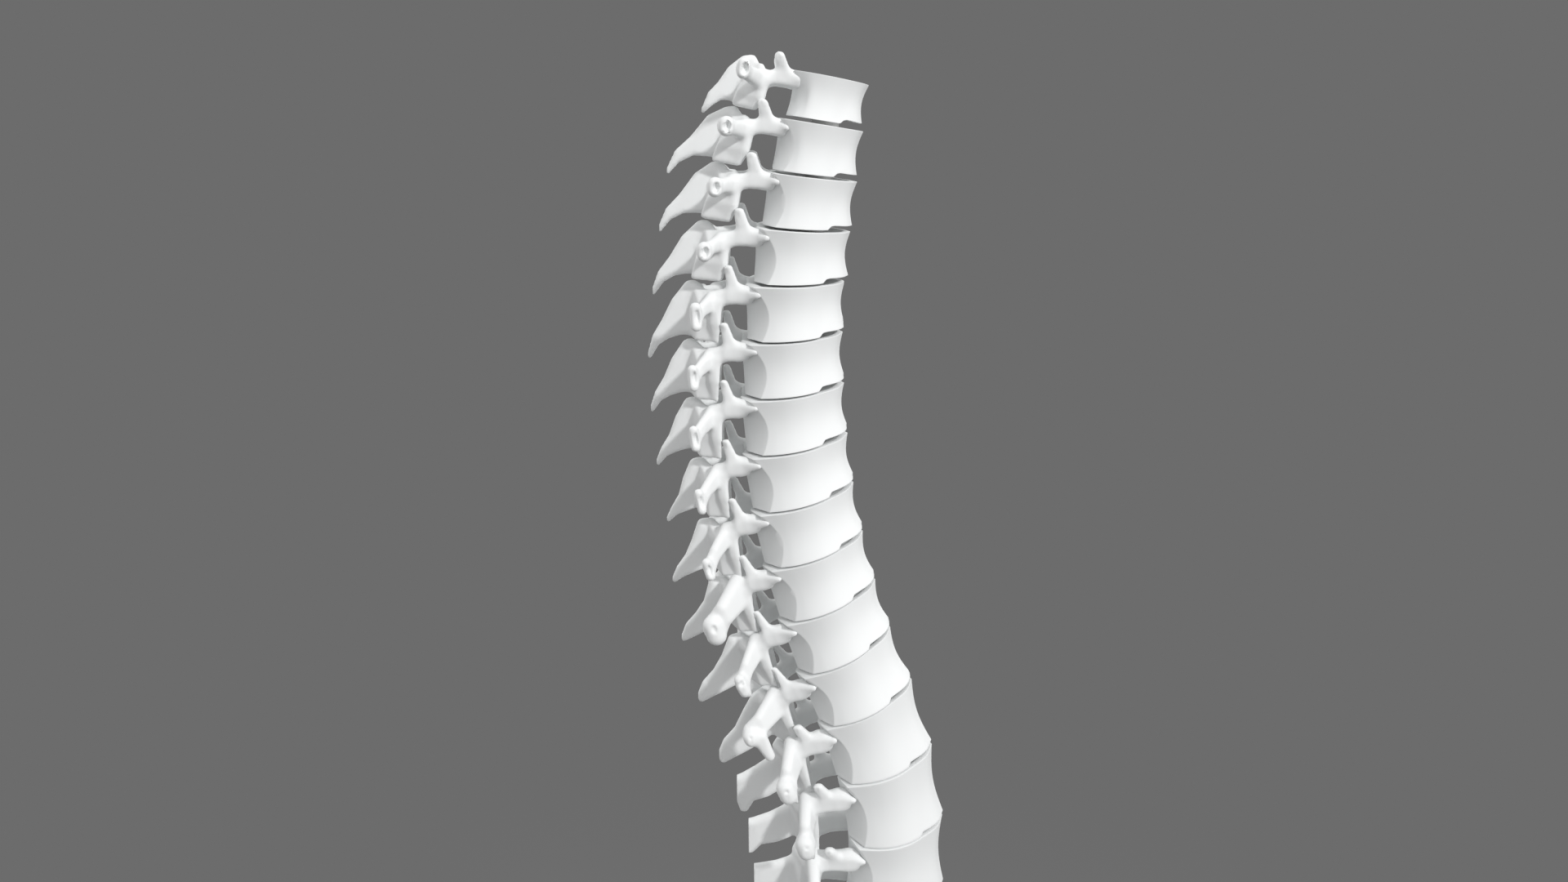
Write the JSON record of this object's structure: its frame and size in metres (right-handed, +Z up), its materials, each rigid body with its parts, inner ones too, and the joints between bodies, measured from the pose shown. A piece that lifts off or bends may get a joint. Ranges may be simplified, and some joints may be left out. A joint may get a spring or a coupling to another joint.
{
  "type": "spine anatomy model",
  "caption": "White moulded thoracic and lumbar vertebrae with sacrum and coccyx, threaded on a bent steel rod that plugs into a stand.",
  "frame": {"origin": "centre of the lower end of the steel rod's spigot, which a stand's socket holds", "axes": "+Z up along the column, -Y towards the front of the body, +X to its left side"},
  "size_m": [0.112, 0.1376, 0.5872],
  "materials": {
    "bone_plastic": "matte white moulded plastic",
    "spacer_nylon": "natural white nylon",
    "rod_steel": "drawn steel"
  },
  "bodies": {
    "root": {"vertebra_t01": "bone_plastic", "vertebra_t02": "bone_plastic", "vertebra_t03": "bone_plastic", "vertebra_t04": "bone_plastic", "vertebra_t05": "bone_plastic", "vertebra_t06": "bone_plastic", "vertebra_t07": "bone_plastic", "vertebra_t08": "bone_plastic", "vertebra_t09": "bone_plastic", "vertebra_t10": "bone_plastic", "vertebra_t11": "bone_plastic", "vertebra_t12": "bone_plastic", "vertebra_l1": "bone_plastic", "vertebra_l2": "bone_plastic", "vertebra_l3": "bone_plastic", "vertebra_l4": "bone_plastic", "vertebra_l5": "bone_plastic", "sacrum": "bone_plastic", "coccyx": "bone_plastic", "spacer_01": "spacer_nylon", "spacer_02": "spacer_nylon", "spacer_03": "spacer_nylon", "spacer_04": "spacer_nylon", "spacer_05": "spacer_nylon", "spacer_06": "spacer_nylon", "spacer_07": "spacer_nylon", "spacer_08": "spacer_nylon", "spacer_09": "spacer_nylon", "spacer_10": "spacer_nylon", "spacer_11": "spacer_nylon", "spacer_12": "spacer_nylon", "spacer_13": "spacer_nylon", "spacer_14": "spacer_nylon", "spacer_15": "spacer_nylon", "spacer_16": "spacer_nylon", "spacer_17": "spacer_nylon", "core_rod": "rod_steel", "top_washer": "rod_steel", "top_nut": "rod_steel", "lower_washer": "rod_steel", "lower_nut": "rod_steel", "coccyx_pin": "rod_steel"}
  },
  "joints": []
}
